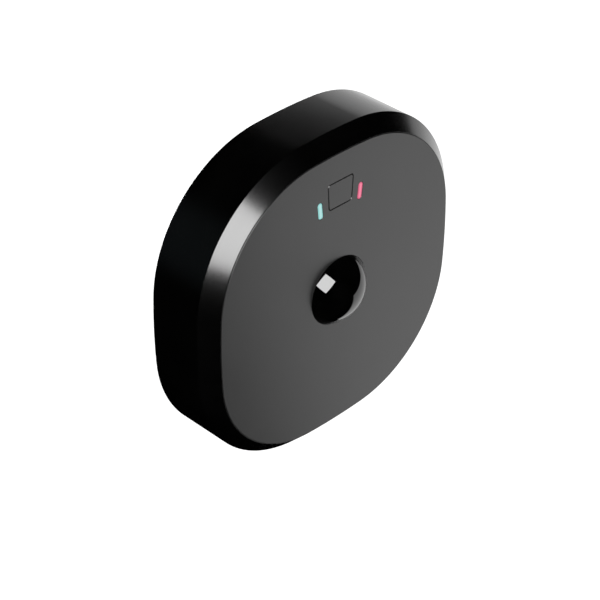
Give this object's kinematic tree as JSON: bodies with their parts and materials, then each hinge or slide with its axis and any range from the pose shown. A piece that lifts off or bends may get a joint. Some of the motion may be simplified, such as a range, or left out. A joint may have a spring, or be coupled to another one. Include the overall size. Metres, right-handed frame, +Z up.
{
  "type": "wifi thermostat",
  "caption": "Wall thermostat: bevelled rounded-square case with a matt face, glossy sensor dome, sprung button and light bars, which pulls off a wired wall plate.",
  "frame": {"origin": "centre of the wall plate's back face, on the wall", "axes": "+Z up the wall, +Y into the wall, the face looks to -Y, +X to the right of a person facing it"},
  "size_m": [0.09, 0.0263, 0.09],
  "materials": {
    "case_gloss_black": "polished black, mirror-like",
    "face_charcoal": "fine matt charcoal",
    "lens_black": "polished black lens, passes infrared",
    "tape_white": "foam tape",
    "light_cyan": "clear light guide lit cyan",
    "light_pink": "clear light guide lit pink",
    "inner_black": "moulded black, fine spark texture",
    "plate_grey": "moulded dark grey, fine spark texture",
    "board_green": "solder mask over glass laminate",
    "chip_black": "moulded epoxy",
    "tin_plate": "tinned steel",
    "screw_steel": "zinc plated steel",
    "contact_brass": "gold flashed contact",
    "coil_grey": "coated ferrite",
    "capacitor_amber": "moulded amber epoxy",
    "terminal_green": "moulded terminal green",
    "lamp_white": "white lamp package"
  },
  "bodies": {
    "wall_base": {"wall_plate": "plate_grey", "plate_board": "board_green", "plate_board_screws": "screw_steel", "plate_socket": "inner_black", "socket_contacts": "contact_brass", "terminal_block": "terminal_green", "wire_clamps": "tin_plate", "terminal_screws": "screw_steel"},
    "head": {"housing": "case_gloss_black", "face_panel": "face_charcoal", "panel_tape": "tape_white", "sensor_dome": "lens_black", "dome_retainer": "inner_black", "retainer_screws": "screw_steel", "motion_sensor": "tin_plate", "sensor_window": "chip_black", "button_switch": "chip_black", "cool_light_guide": "light_cyan", "heat_light_guide": "light_pink", "cool_lamp": "lamp_white", "heat_lamp": "lamp_white", "light_baffle": "inner_black", "main_board": "board_green", "board_screws": "screw_steel", "wifi_board": "board_green", "wifi_shield": "tin_plate", "processor": "chip_black", "memory_chip": "chip_black", "temperature_sensor": "chip_black", "output_switches": "chip_black", "supply_coil": "coil_grey", "storage_capacitors": "capacitor_amber", "bridge_rectifier": "chip_black", "header_strip": "inner_black", "header_pins": "contact_brass", "rear_cover": "plate_grey", "cover_screws": "screw_steel"},
    "button": {"button_cap": "face_charcoal", "switch_plunger": "inner_black"}
  },
  "joints": [
    {"name": "head_release", "type": "slide", "parent": "wall_base", "child": "head", "axis": [0, -1, 0], "range_m": [0, 0.03]},
    {"name": "button_press", "type": "slide", "parent": "head", "child": "button", "axis": [0, 1, 0], "range_m": [0, 0.0003], "stiffness_N_per_m": 3000, "springref_m": -0.00025}
  ]
}
